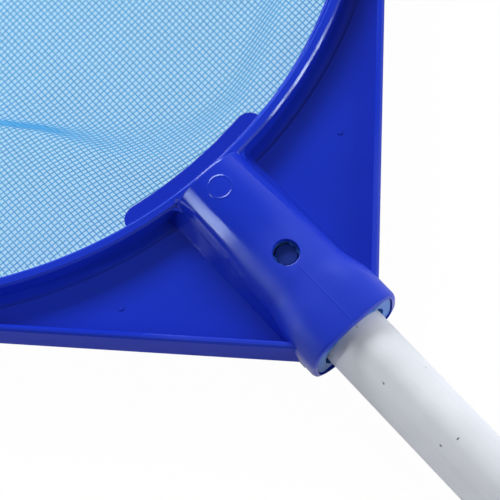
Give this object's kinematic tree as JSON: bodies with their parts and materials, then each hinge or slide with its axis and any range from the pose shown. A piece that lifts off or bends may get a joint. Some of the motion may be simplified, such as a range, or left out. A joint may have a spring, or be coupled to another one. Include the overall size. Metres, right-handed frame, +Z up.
{
  "type": "leaf skimmer net",
  "caption": "Pool leaf skimmer: a shallow net in a moulded head with a straight scoop lip, on a two-stage telescopic aluminium pole with a twist lock.",
  "frame": {"origin": "on the ground, under the middle of the overall box, with the skimmer lying flat as stored", "axes": "+X along the pole from the net to the grip; +Z up, out of the net's open face; +Y to the left of +X"},
  "size_m": [1.0918, 0.3746, 0.037],
  "materials": {
    "blue_plastic": "moulded polypropylene, semi-gloss",
    "net_fabric": "fine knitted nylon mesh",
    "tube_aluminium": "satin anodised",
    "spring_steel": "bright stainless",
    "grey_plastic": "moulded acetal",
    "soft_grip": "soft moulded grip, matt"
  },
  "bodies": {
    "head": {"head_frame": "blue_plastic", "net_hoop": "blue_plastic", "net_hem": "net_fabric", "mesh_net": "net_fabric", "socket_sleeve": "blue_plastic", "inner_tube": "tube_aluminium", "tube_plug": "grey_plastic", "tube_runner": "grey_plastic", "runner_pin": "spring_steel", "clip_bend": "spring_steel"},
    "clip_top": {"clip_arm_top": "spring_steel", "clip_button_top": "blue_plastic"},
    "clip_bottom": {"clip_arm_bottom": "spring_steel", "clip_button_bottom": "blue_plastic"},
    "outer_pole": {"outer_tube": "tube_aluminium", "lock_body": "blue_plastic", "lock_collet": "grey_plastic", "lock_screw": "spring_steel", "hand_grip": "soft_grip", "end_cap": "blue_plastic"},
    "lock_ring": {"lock_nut": "blue_plastic"}
  },
  "joints": [
    {"name": "clip_press_top", "type": "hinge", "parent": "head", "child": "clip_top", "pos_m": [-0.11245, 0, 0.0275], "axis": [0, -1, 0], "range_deg": [0, 6], "stiffness_Nm_per_rad": 6, "springref_deg": -2.86},
    {"name": "clip_press_bottom", "type": "hinge", "parent": "head", "child": "clip_bottom", "pos_m": [-0.11245, 0, 0.0095], "axis": [0, 1, 0], "range_deg": [0, 6], "stiffness_Nm_per_rad": 6, "springref_deg": -2.86},
    {"name": "pole_slide", "type": "slide", "parent": "head", "child": "outer_pole", "axis": [1, 0, 0], "range_m": [0, 0.49]},
    {"name": "lock_turn", "type": "hinge", "parent": "outer_pole", "child": "lock_ring", "pos_m": [-0.00465, 0, 0.0185], "axis": [1, 0, 0], "range_deg": [-90, 0]}
  ]
}
